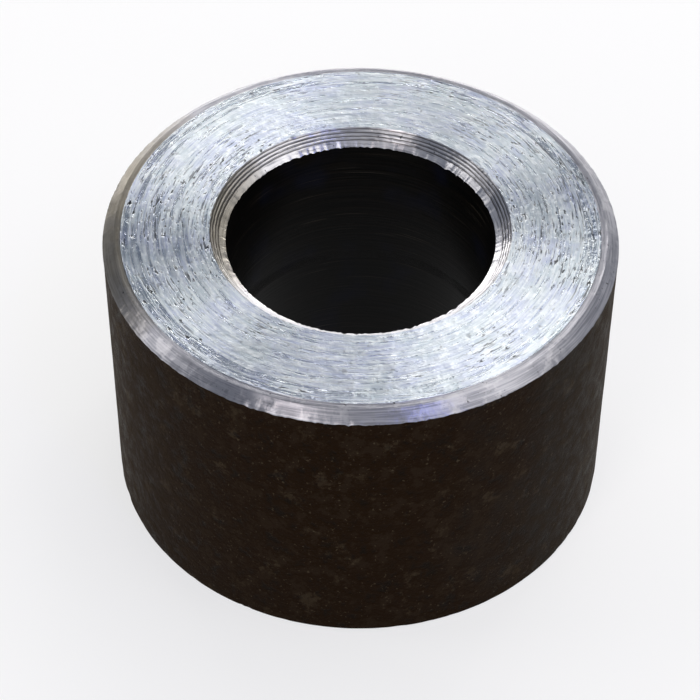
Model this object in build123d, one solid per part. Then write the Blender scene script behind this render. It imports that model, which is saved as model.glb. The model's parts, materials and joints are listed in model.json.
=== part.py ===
from build123d import *
import os

# Spacer sleeve: a short thick-walled collar turned from black round bar, bored through and faced on
# both ends. It is one solid of revolution about Z, with its origin at the centre of the bore on the
# lower end face. All sizes are in millimetres.

# Driving dimensions
outer_diameter = 40.0
bore_diameter = 21.0
length = 25.0

# Outer edge of the upper end: a turned chamfer, and the narrow land that its tool left round the face
chamfer_width = 0.9
chamfer_height = 0.7
land_width = 0.5
land_drop = 0.04

# Outer edge of the lower end: only the burr is taken off
edge_break = 0.3

# Bore mouth, the same at both ends: a countersink down to a flatter lip round the bore
sink_width = 0.8
sink_depth = 0.85
lip_width = 0.4
lip_depth = 0.2

# Tool marks: the ridges that chatter left in the countersink, and the deeper rings of the facing cut
ridge_pitch = 0.29
ridge_depth = 0.05
ring_pitch = 1.6
ring_width = 0.2
ring_depth = 0.02


def ridged(start, end, up, pitch, depth):
    """Outline of a chattered surface: crests on the line from start to end, with a valley between each two.

    up is 1 on the upper end of the sleeve and -1 on the lower one, so that the valleys go into the metal.
    """
    run = end - start
    inward = Vector(run.Y, -run.X).normalized() * up
    count = max(1, round(run.length / pitch))
    points = [start]
    for number in range(count):
        points.append(start + run * (number + 0.5) / count + inward * depth)
        points.append(start + run * (number + 1) / count)
    Polyline(points)


def ringed(start, end, up, pitch, width, depth):
    """Outline of a faced surface: flat lands with a shallow groove between each two, sunk as in ridged."""
    run = end - start
    along = run.normalized()
    inward = Vector(run.Y, -run.X).normalized() * up
    count = max(1, round(run.length / pitch))
    points = [start]
    for number in range(count):
        middle = start + run * (number + 0.5) / count
        points += [middle - along * width / 2, middle + inward * depth, middle + along * width / 2]
    points.append(end)
    Polyline(points)


def bore_mouth(height, up):
    """Lip and ridged countersink of the end face at a height, from the bore's wall out to the face.

    Returns the two ends of this outline.
    """
    wall = Vector(bore_diameter / 2, height - up * (sink_depth + lip_depth))
    lip = wall + Vector(lip_width, up * lip_depth)
    rim = lip + Vector(sink_width, up * sink_depth)
    Line(wall, lip)
    ridged(lip, rim, up, ridge_pitch, ridge_depth)
    return wall, rim


def upper_face(rim):
    """Faced end with its land and outer chamfer, from the rim of the bore's mouth out to the side wall."""
    chamfer_top = Vector(outer_diameter / 2 - chamfer_width, length - land_drop)
    land_foot = chamfer_top - Vector(land_width, 0)
    land_rim = land_foot + Vector(0, land_drop)
    wall = Vector(outer_diameter / 2, chamfer_top.Y - chamfer_height)
    ringed(rim, land_rim, 1, ring_pitch, ring_width, ring_depth)
    Polyline(land_rim, land_foot, chamfer_top, wall)
    return wall


def lower_face(rim):
    """Faced end with its broken outer edge, from the rim of the bore's mouth out to the side wall."""
    corner = Vector(outer_diameter / 2 - edge_break, 0)
    wall = Vector(outer_diameter / 2, edge_break)
    ringed(rim, corner, -1, ring_pitch, ring_width, ring_depth)
    Line(corner, wall)
    return wall


with BuildPart() as sleeve:
    with BuildSketch(Plane.XZ):
        with BuildLine():
            upper_bore, upper_rim = bore_mouth(length, 1)
            lower_bore, lower_rim = bore_mouth(0, -1)
            Line(lower_bore, upper_bore)
            Line(upper_face(upper_rim), lower_face(lower_rim))
        make_face()
    revolve(axis=Axis.Z)

sleeve.part.label = "spacer_sleeve"
os.makedirs("parts", exist_ok=True)
export_step(sleeve.part, "parts/spacer_sleeve.step")
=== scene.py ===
import json
import math
import random

import bpy
from mathutils import Matrix, Vector, noise


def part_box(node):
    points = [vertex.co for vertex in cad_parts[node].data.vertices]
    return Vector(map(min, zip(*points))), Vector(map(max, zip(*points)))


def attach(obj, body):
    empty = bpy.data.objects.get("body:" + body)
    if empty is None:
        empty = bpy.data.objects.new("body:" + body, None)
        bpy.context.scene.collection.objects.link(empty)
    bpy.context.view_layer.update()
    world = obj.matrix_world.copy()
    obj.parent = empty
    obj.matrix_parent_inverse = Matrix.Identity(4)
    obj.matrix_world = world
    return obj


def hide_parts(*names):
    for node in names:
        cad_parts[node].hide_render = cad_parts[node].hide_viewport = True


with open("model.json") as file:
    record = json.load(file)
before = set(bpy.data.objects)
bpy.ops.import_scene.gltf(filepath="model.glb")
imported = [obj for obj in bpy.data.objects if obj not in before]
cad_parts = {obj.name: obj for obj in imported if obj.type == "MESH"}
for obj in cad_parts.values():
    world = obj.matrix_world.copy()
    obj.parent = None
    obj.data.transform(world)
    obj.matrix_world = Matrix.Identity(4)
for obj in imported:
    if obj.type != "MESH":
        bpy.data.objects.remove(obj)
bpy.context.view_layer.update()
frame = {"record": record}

# Spacer sleeve: a short thick-walled collar turned from hot-rolled round bar. Every length is in
# metres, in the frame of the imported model: Z runs along the bore, and z = 0 is the lower end face.
MM = 0.001

# ---------------------------------------------------------------------------------------------
# The sleeve's turned section. One outline holds both faced ends with their feed rings, the land and
# the chamfer round the upper face, the ridged countersinks and the bore. It is drawn from vertex to
# vertex, and turned about Z as the lathe turns the bar.
outer_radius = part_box("spacer_sleeve")[1][0]
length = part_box("spacer_sleeve")[1][2]
bore_radius = frame["record"]["mounts"][0]["dims"]["r_mm"] * MM

chamfer_width, chamfer_height = 0.9 * MM, 0.7 * MM
land_width, land_drop = 0.5 * MM, 0.04 * MM
edge_break = 0.3 * MM
sink_width, sink_depth = 0.8 * MM, 0.85 * MM
lip_width, lip_depth = 0.4 * MM, 0.2 * MM
ridge_count, ridge_depth = 4, 0.05 * MM
feed_pitch, feed_depth = 0.32 * MM, 0.009 * MM
steps_round = 512
crease = math.radians(24)
weld = 0.001 * MM

mouth_depth = sink_depth + lip_depth
lip_radius = bore_radius + lip_width
mouth_radius = lip_radius + sink_width
land_radius = outer_radius - chamfer_width
face_radius = land_radius - land_width
wall_top = length - land_drop - chamfer_height
wear = random.Random(7)

bpy.ops.object.select_all(action="DESELECT")
bpy.ops.mesh.primitive_plane_add(size=MM, location=(bore_radius, 0, length / 2))
sleeve = bpy.context.object
sleeve.name = sleeve.data.name = "turned_sleeve"
bpy.ops.object.transform_apply(location=True)
bpy.ops.object.mode_set(mode="EDIT")
bpy.ops.mesh.select_all(action="SELECT")
bpy.ops.mesh.merge(type="CENTER")
outline = [Vector((bore_radius, length / 2))]
hollows = []


def turn_to(radius, height, cuts=1):
    """Carries the outline on to a point at that radius and height, in equal steps."""
    step = (Vector((radius, height)) - outline[-1]) / cuts
    for cut in range(cuts):
        bpy.ops.mesh.extrude_vertices_move(TRANSFORM_OT_translate={"value": (step.x, 0, step.y)})
        outline.append(outline[-1] + step)


def ridges_to(radius, height, side):
    """Ridges that chatter left in a countersink, with a valley between each two crests."""
    start = outline[-1].copy()
    run = Vector((radius, height)) - start
    inward = Vector((run.y, -run.x)).normalized() * side
    for number in range(ridge_count):
        depth = ridge_depth * wear.uniform(0.6, 1.1)
        valley = start + run * (number + 0.5) / ridge_count + inward * depth
        crest = start + run * (number + 1) / ridge_count
        turn_to(valley.x, valley.y)
        hollows.append(len(outline) - 1)
        turn_to(crest.x, crest.y)


def feed_rings_to(radius, side):
    """Feed rings of a facing cut: the tool's nose leaves a valley and a crest for each turn."""
    start = outline[-1].copy()
    count = round(abs(radius - start.x) / feed_pitch)
    for number in range(count):
        valley = start.x + (radius - start.x) * (number + wear.uniform(0.4, 0.6)) / count
        crest = start.x + (radius - start.x) * (number + 1) / count
        turn_to(valley, start.y - side * feed_depth * wear.uniform(0.35, 1.3))
        turn_to(crest, start.y)


turn_to(bore_radius, length - mouth_depth, 12)
turn_to(lip_radius, length - sink_depth)
ridges_to(mouth_radius, length, 1)
feed_rings_to(face_radius, 1)
turn_to(face_radius + land_width * 0.1, length - land_drop)
turn_to(face_radius + land_width * 0.45, length - land_drop)
turn_to(face_radius + land_width * 0.7, length - land_drop * 0.4)
turn_to(land_radius, length - land_drop)
turn_to(outer_radius, wall_top, 4)
turn_to(outer_radius, edge_break, 30)
turn_to(outer_radius - edge_break, 0)
feed_rings_to(mouth_radius, -1)
ridges_to(lip_radius, sink_depth, -1)
turn_to(bore_radius, mouth_depth)
turn_to(bore_radius, length / 2, 12)
bpy.ops.object.mode_set(mode="OBJECT")

# Distance along the outline, in millimetres, for patterns that follow the tool's path, and the
# valleys between ridges, which are painted darker as shade. The lathe carries both round.
masks = sleeve.data.attributes
masks.new("travel_mm", "FLOAT", "POINT")
masks.new("shaded_valley", "FLOAT", "POINT")
travelled = 0
for number, point in enumerate(outline):
    if number:
        travelled += (point - outline[number - 1]).length / MM
    masks["travel_mm"].data[number].value = travelled
    masks["shaded_valley"].data[number].value = number in hollows

lathe = sleeve.modifiers.new("lathe", "SCREW")
lathe.angle = 2 * math.pi
lathe.steps = lathe.render_steps = steps_round
lathe.use_merge_vertices = True
lathe.merge_threshold = weld
bpy.ops.object.modifier_apply(modifier="lathe")
bpy.ops.object.mode_set(mode="EDIT")
bpy.ops.mesh.select_all(action="SELECT")
bpy.ops.mesh.remove_doubles(threshold=weld)
bpy.ops.mesh.normals_make_consistent(inside=False)
bpy.ops.mesh.select_all(action="DESELECT")
bpy.ops.object.mode_set(mode="OBJECT")

# Which finish each face takes, by its place on the section while that is still exact.
FACED, CUT_EDGE, SCALE, BORED = range(4)
slack = 0.02 * MM
zone = []
for polygon in sleeve.data.polygons:
    radius = math.hypot(polygon.center.x, polygon.center.y)
    height = polygon.center.z
    if radius < bore_radius + slack:
        zone.append(BORED)
    elif radius > outer_radius - slack:
        zone.append(SCALE)
    elif mouth_radius < radius < face_radius or height < slack:
        zone.append(FACED)
    else:
        zone.append(CUT_EDGE)

# ---------------------------------------------------------------------------------------------
# Wear that is part of the shape. The tool leaves a ragged burr where the chamfer meets the scale
# and crumbled corners at the mouth and the land, and rolling leaves a dented side with two seams.
# Every mark goes into the metal, so the sleeve keeps its outside size.
burr_drop, burr_reach, burr_tooth = 0.02 * MM, 0.2 * MM, 0.07 * MM
scale_loss, scale_swell, scale_ripple = 0.02 * MM, 0.014 * MM, 0.01 * MM
seam_depth, seam_length = 0.05 * MM, 10.5 * MM
foot_nick = 0.09 * MM
mouth_chip, mouth_dip, mouth_waver = 0.4 * MM, 0.12 * MM, 0.03 * MM
rim_chip, rim_dip, rim_waver = 0.25 * MM, 0.05 * MM, 0.02 * MM
land_chip, land_waver = 0.03 * MM, 0.012 * MM
lip_chip, lip_waver = 0.3 * MM, 0.05 * MM
ridge_waver = 0.03 * MM
burnish_radius, burnish_fade, patch_radius = 17.1 * MM, 0.25 * MM, 17.6 * MM
levels = {"burnish": [], "olive_left_side": [], "browner_front_left": [], "dash_shade_sides": [], "mouth": []}


def lumpy(place, size, seed=0.0):
    """Smooth noise from -1 to 1 over lumps of that size, at that place on the sleeve."""
    return noise.noise(place / size + Vector((seed, seed, seed)))


def swell(angle, middle, width):
    """1 at the middle angle, falling to 0 half the width away, in degrees."""
    away = abs((angle - middle + 180) % 360 - 180) / (width / 2)
    return max(0.0, 1 - away * away) ** 0.5 if away < 1 else 0.0


for vertex in sleeve.data.vertices:
    place = vertex.co.copy()
    radius, height = math.hypot(place.x, place.y), place.z
    angle = math.degrees(math.atan2(place.y, place.x))
    upper = height > length / 2
    depth = length - height if upper else height
    outward = Vector((place.x, place.y, 0)) / radius
    inward, sink = 0.0, 0.0
    chips = abs(lumpy(place, 0.5 * MM)) ** 1.5
    if abs(radius - outer_radius) < slack and abs(height - wall_top) < slack:
        sink = burr_drop + burr_reach * chips + burr_tooth * lumpy(place, 0.3 * MM, 5)
    elif abs(radius - outer_radius) < slack:
        inward = scale_loss + scale_swell * lumpy(place, 3.5 * MM) + scale_ripple * lumpy(place, 0.9 * MM)
        seams = max(swell(angle, -117.4, 1.1), swell(angle, -115.6, 1.3))
        inward += seam_depth * seams * max(0.0, 1 - depth / seam_length)
        if height < 2 * edge_break:
            inward += foot_nick * max(0.0, lumpy(place, 1.3 * MM, 3) - 0.15)
    elif abs(radius - mouth_radius) < slack and depth < slack:
        crumble = 0.12 + swell(angle, 33, 26) + 0.6 * swell(angle, 121, 14) + 0.3 * swell(angle, 160, 40)
        inward = -mouth_chip * chips * crumble + mouth_waver * lumpy(place, 0.4 * MM)
        sink = mouth_dip * chips * crumble
    elif abs(radius - face_radius) < slack and depth < slack:
        flaky = 0.15 + swell(angle, 10, 34) + swell(angle, -155, 14)
        inward = rim_chip * chips * flaky + rim_waver * lumpy(place, 0.5 * MM)
        sink = rim_dip * chips * flaky
    elif face_radius < radius < outer_radius - slack and depth < chamfer_height:
        inward = land_waver * lumpy(place, 1.1 * MM) + land_chip * chips
    elif radius < bore_radius + slack and abs(depth - mouth_depth) < slack:
        sink = lip_chip * chips + lip_waver * lumpy(place, 0.3 * MM)
    elif bore_radius + slack < radius < mouth_radius:
        inward = ridge_waver * (lumpy(place, 0.5 * MM) + lumpy(place, 2.5 * MM, 8))
    vertex.co -= outward * inward
    vertex.co.z += -sink if upper else sink

    band = min(1.0, max(0.0, (radius - burnish_radius) / burnish_fade))
    patch = swell(angle, -139, 19) if radius > patch_radius else 0.0
    levels["burnish"].append(max(0.75 * band, patch) if radius < outer_radius - slack else 0.0)
    # Olive tint round the left, on the chamfer.
    levels["olive_left_side"].append(swell(angle, 176, 80))
    # Browner scale round the front and the left.
    levels["browner_front_left"].append(swell(angle, -140, 190))
    # Two sides of the face where torn dashes are set thicker, as painted shade.
    levels["dash_shade_sides"].append(max(swell(angle, 178, 100), swell(angle, 10, 90)))
    levels["mouth"].append(float(radius < mouth_radius + slack))

for mask, values in levels.items():
    masks.new(mask, "FLOAT", "POINT").data.foreach_set("value", values)

bpy.ops.object.shade_smooth_by_angle(angle=crease)
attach(sleeve, "root")
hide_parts("spacer_sleeve")

# ---------------------------------------------------------------------------------------------
# Faced ends: mild steel, faced on the lathe with a coarse feed. The cut leaves bright rings that
# stretch every highlight into a sector, dark dashes where the tool tore the metal, set thicker on
# two sides as painted shade, smudges, flecks and a burnished outer band. Ring lines are drawn
# coarser than a real feed's, so that they show.
mask_ramp = {"interpolation_type": "SMOOTHSTEP"}
plus, times, larger = {"operation": "ADD"}, {"operation": "MULTIPLY"}, {"operation": "MAXIMUM"}


def colour(hex_text):
    """An sRGB hex colour as linear red, green, blue and alpha."""
    parts = [int(hex_text[place:place + 2], 16) / 255 for place in (1, 3, 5)]
    return [part / 12.92 if part <= 0.04045 else ((part + 0.055) / 1.055) ** 2.4 for part in parts] + [1]


def node(tree, kind, settings=None, inputs=None):
    """Adds a node with its settings, and gives its inputs values or links from other nodes."""
    made = tree.nodes.new("ShaderNode" + kind)
    for field, value in (settings or {}).items():
        setattr(made, field, value)
    for socket, value in (inputs or {}).items():
        if isinstance(value, bpy.types.Node):
            value = [output for output in value.outputs if output.enabled][0]
        if isinstance(value, bpy.types.NodeSocket):
            tree.links.new(value, made.inputs[socket])
        else:
            made.inputs[socket].default_value = value
    return made


def finish_of(name):
    """A new material with its node tree and its shader."""
    material = bpy.data.materials.new(name)
    material.use_nodes = True
    return material, material.node_tree, material.node_tree.nodes["Principled BSDF"]


def in_mm(tree):
    """A place on the sleeve, in millimetres."""
    place = node(tree, "TexCoord").outputs["Object"]
    return node(tree, "VectorMath", {"operation": "SCALE"}, {0: place, "Scale": 1 / MM})


def along_cut(tree, around, across):
    """A place on the tool's path, in cells that are around mm long on the rim and across mm wide."""
    place = node(tree, "TexCoord").outputs["Object"]
    flat = node(tree, "VectorMath", {"operation": "MULTIPLY"}, {0: place, 1: (1, 1, 0)})
    spoke = node(tree, "VectorMath", {"operation": "NORMALIZE"}, {0: flat})
    travel = node(tree, "Attribute", {"attribute_name": "travel_mm"}).outputs["Fac"]
    drift = node(tree, "Math", {"operation": "DIVIDE"}, {0: travel, 1: across})
    lift = node(tree, "CombineXYZ", {}, {"Z": drift})
    rim = outer_radius / MM / around
    return node(tree, "VectorMath", {"operation": "MULTIPLY_ADD"}, {0: spoke, 1: (rim, rim, rim), 2: lift})


def layer(tree, under, over, pattern, low, high, amount=1.0):
    """Lays a colour over another where a pattern rises from low to high, up to an amount."""
    mask = node(tree, "MapRange", mask_ramp, {0: pattern, 1: low, 2: high, 4: amount})
    return node(tree, "Mix", {"data_type": "RGBA"}, {0: mask, 6: under, 7: colour(over)})


def give_lay(tree, shader, sharpness):
    """Makes the metal reflect as one cut in rings about Z: highlights stretch across the rings."""
    shader.inputs["Metallic"].default_value = 1
    shader.inputs["Anisotropic"].default_value = sharpness
    shader.inputs["Anisotropic Rotation"].default_value = 0.25
    tangent = node(tree, "Tangent", {"direction_type": "RADIAL", "axis": "Z"})
    tree.links.new(tangent.outputs[0], shader.inputs["Tangent"])


faced, tree, shader = finish_of("faced_mild_steel")
give_lay(tree, shader, 0.9)
here = in_mm(tree)
cloud = node(tree, "TexNoise", {}, {"Vector": here, "Scale": 1 / 2.6, "Detail": 4, "Roughness": 0.6})
field = node(tree, "TexNoise", {}, {"Vector": here, "Scale": 1 / 5.0, "Detail": 2})
smudge = node(tree, "TexNoise", {}, {"Vector": here, "Scale": 1 / 0.7, "Detail": 3, "Roughness": 0.6})
fleck = node(tree, "TexNoise", {}, {"Vector": here, "Scale": 1 / 0.2, "Detail": 1})
fibre_place, score_place = along_cut(tree, 3.0, 0.13), along_cut(tree, 6.0, 0.3)
fibre = node(tree, "TexNoise", {}, {"Vector": fibre_place, "Scale": 1, "Detail": 2, "Roughness": 0.6})
score = node(tree, "TexNoise", {}, {"Vector": score_place, "Scale": 1, "Detail": 2, "Roughness": 0.6})
line = node(tree, "TexNoise", {}, {"Vector": along_cut(tree, 2.4, 0.18), "Scale": 1, "Detail": 2})
tear_place, dapple_place = along_cut(tree, 1.0, 0.26), along_cut(tree, 1.0, 0.5)
tear = node(tree, "TexNoise", {}, {"Vector": tear_place, "Scale": 1, "Detail": 3, "Roughness": 0.6})
dapple = node(tree, "TexNoise", {}, {"Vector": dapple_place, "Scale": 1, "Detail": 3, "Roughness": 0.65})

# Torn dashes crowd into fields of a few millimetres, set thicker on two sides as painted shade.
shade_side = node(tree, "Attribute", {"attribute_name": "dash_shade_sides"}).outputs["Fac"]
shade_side_more = node(tree, "Math", times, {0: shade_side, 1: 0.16})
dash_and_shade_sum = node(tree, "Math", plus, {0: field, 1: shade_side_more})
dash_and_shade_field = node(tree, "MapRange", mask_ramp, {0: dash_and_shade_sum, 1: 0.46, 2: 0.64})
line_field = node(tree, "Math", larger, {0: dash_and_shade_field, 1: 0.14})
line_marks = node(tree, "MapRange", mask_ramp, {0: line, 1: 0.58, 2: 0.66})
lines = node(tree, "Math", times, {0: line_marks, 1: line_field})
tear_marks = node(tree, "MapRange", mask_ramp, {0: tear, 1: 0.59, 2: 0.66})
tears = node(tree, "Math", times, {0: tear_marks, 1: dash_and_shade_field})

blend = node(tree, "MapRange", mask_ramp, {0: cloud, 1: 0.38, 2: 0.62})
base = node(tree, "Mix", {"data_type": "RGBA"}, {0: blend, 6: colour("#ADB8C2"), 7: colour("#A9B1C9")})
base = layer(tree, base, "#CDD3D8", fibre, 0.3, 0.72)
base = layer(tree, base, "#E3E7EA", dapple, 0.5, 0.64, 0.45)
share = node(tree, "Math", times, {0: lines, 1: 0.8})
base = node(tree, "Mix", {"data_type": "RGBA"}, {0: share, 6: base, 7: colour("#5C5F64")})
base = layer(tree, base, "#72767B", smudge, 0.62, 0.72, 0.6)
share = node(tree, "Math", times, {0: tears, 1: 0.95})
base = node(tree, "Mix", {"data_type": "RGBA"}, {0: share, 6: base, 7: colour("#37383B")})
base = layer(tree, base, "#F0F3F5", fleck, 0.71, 0.78)
tree.links.new(base.outputs[2], shader.inputs["Base Color"])

burnish = node(tree, "Attribute", {"attribute_name": "burnish"}).outputs["Fac"]
dull = node(tree, "MapRange", {}, {0: score, 1: 0.38, 2: 0.62, 3: 0.25, 4: 0.5})
shine = node(tree, "Math", times, {0: burnish, 1: -0.12})
grade = node(tree, "Math", plus, {0: dull, 1: shine})
grade = node(tree, "Math", larger, {0: grade, 1: 0.2})
tree.links.new(grade.outputs[0], shader.inputs["Roughness"])

waves = node(tree, "Bump", {}, {"Distance": 0.09 * MM, "Height": cloud})
ripples = node(tree, "Bump", {}, {"Distance": 0.045 * MM, "Height": dapple, "Normal": waves})
rings = node(tree, "Bump", {}, {"Strength": 0.8, "Distance": 0.014 * MM, "Height": fibre, "Normal": ripples})
sunk = node(tree, "Math", larger, {0: tears, 1: lines})
pits = node(tree, "Bump", {"invert": True},
            {"Strength": 0.8, "Distance": 0.03 * MM, "Height": sunk, "Normal": rings})
tree.links.new(pits.outputs[0], shader.inputs["Normal"])

# ---------------------------------------------------------------------------------------------
# Chamfer, land and countersinks: the same steel, cut by a form tool that chattered. It is greyer
# and smoother than the faces, brighter at the mouth, with painted shade between the ridges and an
# olive tint round the left side.
cut_edge, tree, shader = finish_of("turned_chamfer_steel")
give_lay(tree, shader, 0.85)
here = in_mm(tree)
streak = node(tree, "TexNoise", {}, {"Vector": along_cut(tree, 4.0, 0.12), "Scale": 1, "Detail": 2})
blotch = node(tree, "TexNoise", {}, {"Vector": here, "Scale": 1 / 1.6, "Detail": 4, "Roughness": 0.65})
grit = node(tree, "TexNoise", {}, {"Vector": here, "Scale": 1 / 0.3, "Detail": 2})
mouth = node(tree, "Attribute", {"attribute_name": "mouth"}).outputs["Fac"]
olive_left_side = node(tree, "Attribute", {"attribute_name": "olive_left_side"}).outputs["Fac"]
shaded_valley = node(tree, "Attribute", {"attribute_name": "shaded_valley"}).outputs["Fac"]

blend = node(tree, "MapRange", mask_ramp, {0: streak, 1: 0.35, 2: 0.65})
base = node(tree, "Mix", {"data_type": "RGBA"}, {0: blend, 6: colour("#84858D"), 7: colour("#A8A8B0")})
base = layer(tree, base, "#B9B8BE", blotch, 0.5, 0.6, 0.5)
bright = node(tree, "MapRange", mask_ramp, {0: streak, 1: 0.3, 2: 0.5})
share = node(tree, "Math", times, {0: mouth, 1: bright})
base = node(tree, "Mix", {"data_type": "RGBA"}, {0: share, 6: base, 7: colour("#C0C0C6")})
# Olive tint round the left side of the chamfer.
share = node(tree, "Math", times, {0: olive_left_side, 1: 0.7})
base = node(tree, "Mix", {"data_type": "RGBA"}, {0: share, 6: base, 7: colour("#6B6247")})
# Painted shade: darker in the valleys between the ridges.
base = layer(tree, base, "#2B2723", shaded_valley, 0.4, 1.0, 0.85)
base = layer(tree, base, "#3C3B3D", grit, 0.68, 0.76)
tree.links.new(base.outputs[2], shader.inputs["Base Color"])
dull = node(tree, "MapRange", {}, {0: blotch, 1: 0.35, 2: 0.65, 3: 0.42, 4: 0.3})
tree.links.new(dull.outputs[0], shader.inputs["Roughness"])
waves = node(tree, "Bump", {}, {"Distance": 0.04 * MM, "Height": blotch})
rings = node(tree, "Bump", {}, {"Strength": 0.8, "Distance": 0.02 * MM, "Height": streak, "Normal": waves})
tree.links.new(rings.outputs[0], shader.inputs["Normal"])

# ---------------------------------------------------------------------------------------------
# Mill scale: the dark oxide of hot-rolled bar, never machined. It is nearly black, browner round the
# front and the left, mottled and flaky at the millimetre, and its reflection and sheen at the edges
# are tinted warm, a painted warm reflection.
scale, tree, shader = finish_of("mill_scale")
here = in_mm(tree)
patch = node(tree, "TexNoise", {}, {"Vector": here, "Scale": 1 / 6.0, "Detail": 5, "Roughness": 0.6})
mottle = node(tree, "TexNoise", {}, {"Vector": here, "Scale": 1 / 1.3, "Detail": 6, "Roughness": 0.7})
flake = node(tree, "TexNoise", {}, {"Vector": here, "Scale": 1 / 2.4, "Detail": 6, "Roughness": 0.75})
grit = node(tree, "TexNoise", {}, {"Vector": here, "Scale": 1 / 0.25, "Detail": 2})
browner_front_left = node(tree, "Attribute", {"attribute_name": "browner_front_left"}).outputs["Fac"]

# Browner round the front and the left.
browned = node(tree, "Math", {"operation": "MULTIPLY_ADD"}, {0: browner_front_left, 1: 0.5, 2: patch})
blend = node(tree, "MapRange", mask_ramp, {0: browned, 1: 0.45, 2: 0.85})
base = node(tree, "Mix", {"data_type": "RGBA"}, {0: blend, 6: colour("#1E1915"), 7: colour("#190E05")})
base = layer(tree, base, "#2A221A", mottle, 0.5, 0.6, 0.5)
base = layer(tree, base, "#0C0805", mottle, 0.46, 0.36, 0.8)
base = layer(tree, base, "#40372A", flake, 0.56, 0.66, 0.4)
base = layer(tree, base, "#4F4638", grit, 0.64, 0.74, 0.5)
tree.links.new(base.outputs[2], shader.inputs["Base Color"])
dull = node(tree, "MapRange", {}, {0: mottle, 1: 0.35, 2: 0.65, 3: 0.45, 4: 0.75})
tree.links.new(dull.outputs[0], shader.inputs["Roughness"])
# Warm tints on the reflection and the sheen: a painted warm reflection at the edges.
shader.inputs["Specular IOR Level"].default_value = 0.03
shader.inputs["Specular Tint"].default_value = colour("#DDB27C")
shader.inputs["Sheen Weight"].default_value = 0.03
shader.inputs["Sheen Roughness"].default_value = 0.35
shader.inputs["Sheen Tint"].default_value = colour("#C8A562")
lumps = node(tree, "Bump", {}, {"Distance": 0.12 * MM, "Height": mottle})
grains = node(tree, "Bump", {}, {"Strength": 0.6, "Distance": 0.03 * MM, "Height": grit, "Normal": lumps})
tree.links.new(grains.outputs[0], shader.inputs["Normal"])

# ---------------------------------------------------------------------------------------------
# Bored wall: the drill's bore. It is almost black, partly as painted shade, with faint blue patches
# of painted sheen and thin scored arcs that catch the light.
bored, tree, shader = finish_of("bored_steel_shade_dark")
streak_place, score_place = along_cut(tree, 12.0, 0.2), along_cut(tree, 16.0, 0.12)
streak = node(tree, "TexNoise", {}, {"Vector": streak_place, "Scale": 1, "Detail": 3, "Roughness": 0.6})
score = node(tree, "TexNoise", {}, {"Vector": score_place, "Scale": 1, "Detail": 1})
blue_sheen = node(tree, "TexNoise", {}, {"Vector": in_mm(tree), "Scale": 1 / 5.0, "Detail": 2})
blend = node(tree, "MapRange", mask_ramp, {0: streak, 1: 0.4, 2: 0.7})
# Almost black, partly as painted shade.
base = node(tree, "Mix", {"data_type": "RGBA"}, {0: blend, 6: colour("#040404"), 7: colour("#100D0A")})
# Painted sheen: faint blue patches.
base = layer(tree, base, "#0D1020", blue_sheen, 0.5, 0.7, 0.6)
base = layer(tree, base, "#4A443C", score, 0.68, 0.74, 0.5)
tree.links.new(base.outputs[2], shader.inputs["Base Color"])
shader.inputs["Roughness"].default_value = 0.35
shader.inputs["Specular IOR Level"].default_value = 0.08
rings = node(tree, "Bump", {}, {"Strength": 0.6, "Distance": 0.03 * MM, "Height": streak})
tree.links.new(rings.outputs[0], shader.inputs["Normal"])

for material in (faced, cut_edge, scale, bored):
    sleeve.data.materials.append(material)
for polygon in sleeve.data.polygons:
    polygon.material_index = zone[polygon.index]

# ---------------------------------------------------------------------------------------------
# Floor: a plain pale table, matt, part of whose white comes from what the camera and polished
# metal see of it, so that it stays white without more light on the sleeve.
bpy.ops.mesh.primitive_plane_add(size=4, location=(0, 0, 0))
floor = bpy.context.object
floor.name = "floor"
ground, tree, shader = finish_of("pale_floor")
shader.inputs["Base Color"].default_value = colour("#E6E6E8")
shader.inputs["Roughness"].default_value = 0.9
shader.inputs["Specular IOR Level"].default_value = 0.0
path = node(tree, "LightPath")
clamped = {"operation": "ADD", "use_clamp": True}
seen = node(tree, "Math", clamped, {0: path.outputs["Is Camera Ray"], 1: path.outputs["Is Glossy Ray"]})
seen = node(tree, "Math", clamped, {0: seen, 1: path.outputs["Is Transmission Ray"]})
share = node(tree, "Math", times, {0: seen, 1: 0.6})
glow = node(tree, "Emission", {}, {"Strength": 1.0})
mixed = node(tree, "MixShader", {}, {0: share, 1: shader, 2: glow})
tree.links.new(mixed.outputs[0], tree.nodes["Material Output"].inputs["Surface"])
floor.data.materials.append(ground)

# ---------------------------------------------------------------------------------------------
# Light: a cool, even studio, and soft lamps half a metre off. Each lamp's place round the sleeve
# sets the angle of a bright sector on the faced end, and of a glint on the chamfer and the mouth.
world = bpy.data.worlds.new("studio")
bpy.context.scene.world = world
world.use_nodes = True
background = world.node_tree.nodes["Background"]
background.inputs["Color"].default_value = colour("#DCE6FA")
background.inputs["Strength"].default_value = 0.3
reach = 0.5


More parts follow.
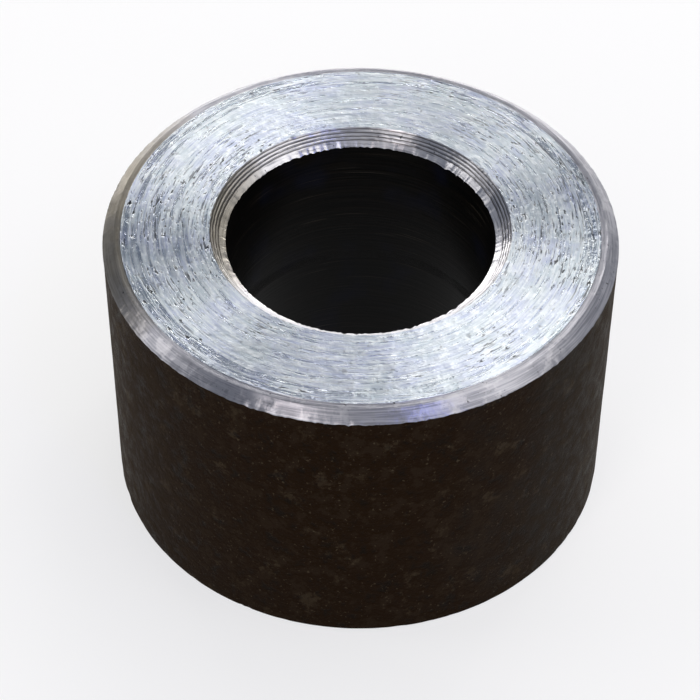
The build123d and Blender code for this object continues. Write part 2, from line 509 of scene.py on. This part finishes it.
def softbox(name, azimuth, elevation, wide, tall, radiance, tint="#FFFBF4"):
    """A soft lamp, with its place and size as the sleeve sees them, in degrees."""
    lamp = bpy.data.lights.new(name, "AREA")
    lamp.shape = "RECTANGLE"
    lamp.size = 2 * reach * math.tan(math.radians(wide / 2))
    lamp.size_y = 2 * reach * math.tan(math.radians(tall / 2))
    lamp.energy = radiance * math.pi * lamp.size * lamp.size_y
    lamp.color = colour(tint)[:3]
    body = bpy.data.objects.new(name, lamp)
    bpy.context.collection.objects.link(body)
    spin = Matrix.Rotation(math.radians(azimuth + 90), 4, "Z")
    tilt = Matrix.Rotation(math.radians(90 - elevation), 4, "X")
    body.matrix_world = spin @ tilt @ Matrix.Translation((0, 0, reach))
    body.visible_camera = False


softbox("overhead_right", 18, 60, 72, 37, 1.8)
softbox("broad_front", -65, 42, 90, 68, 0.5)
softbox("low_back", 95, 17, 58, 16, 8.0)
softbox("left_strip", 177, 32, 16, 43, 2.0)
softbox("front_left", -118, 30, 17, 60, 2.0)
softbox("back_right", 55, 35, 9, 53, 1.9)
softbox("high_left", 136, 58, 22, 7, 4.3)
softbox("cool_lamp", -57, 56, 6, 6, 12.0, "#4A6BFF")
softbox("warm_lamp", -123, 56, 6, 6, 7.0, "#FFE0DC")

# ---------------------------------------------------------------------------------------------
# Camera: close to the sleeve and a little under 46 degrees up, turned a third of a degree.
view_distance = 205.1 * MM
view_elevation = math.radians(45.94)
view_roll = math.radians(0.35)
run_back = view_distance * math.cos(view_elevation)
rise = view_distance * math.sin(view_elevation)
camera_place = Vector((0, -run_back, length / 2 + rise))
aim = Vector((-0.773 * MM, -0.633 * MM, length / 2 - 0.612 * MM))
bpy.ops.object.camera_add(location=camera_place)
camera = bpy.context.object
turn = (aim - camera_place).to_track_quat("-Z", "Y").to_matrix()
camera.rotation_euler = (turn @ Matrix.Rotation(view_roll, 3, "Z")).to_euler()
camera.data.sensor_width = 36
camera.data.lens = 130.3
camera.data.clip_start = 0.01
bpy.context.scene.camera = camera
bpy.context.scene.view_settings.view_transform = "Standard"
